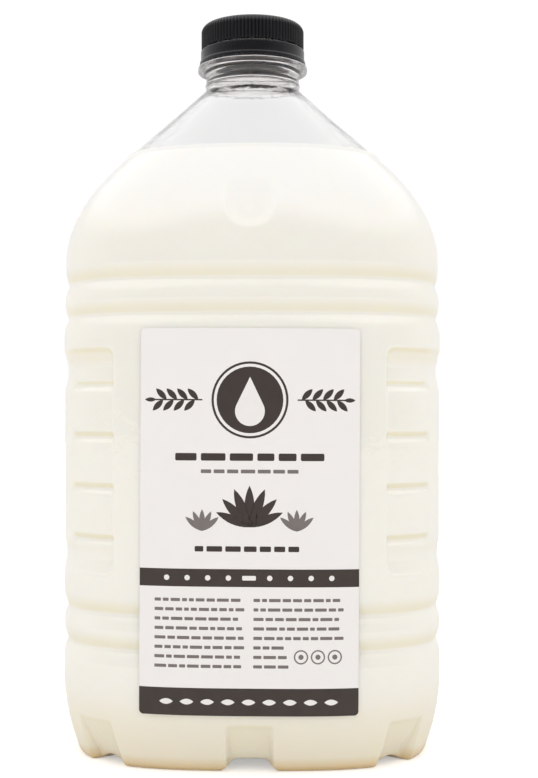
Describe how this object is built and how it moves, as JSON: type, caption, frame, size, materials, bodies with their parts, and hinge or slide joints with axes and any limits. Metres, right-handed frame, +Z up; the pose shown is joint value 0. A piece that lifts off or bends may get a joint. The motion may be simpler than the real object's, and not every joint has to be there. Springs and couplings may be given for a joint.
{
  "type": "plastic milk jug",
  "caption": "Large clear plastic jug full of milk: rounded oblong body, side finger grips, rolled grooves, notched foot, sloping shoulder, ribbed screw cap and front label.",
  "frame": {"origin": "middle of the base, on the surface the jug stands on", "axes": "+Z up, the label faces -Y, the jug is widest along X"},
  "size_m": [0.1432, 0.1176, 0.277],
  "materials": {
    "clear_plastic": "clear glossy PET",
    "milk": "opaque warm white liquid",
    "cap_plastic": "satin black",
    "label_paper": null
  },
  "bodies": {
    "root": {"bottle": "clear_plastic", "milk": "milk", "cap": "cap_plastic", "tamper_band": "cap_plastic", "label": "label_paper"}
  },
  "joints": []
}
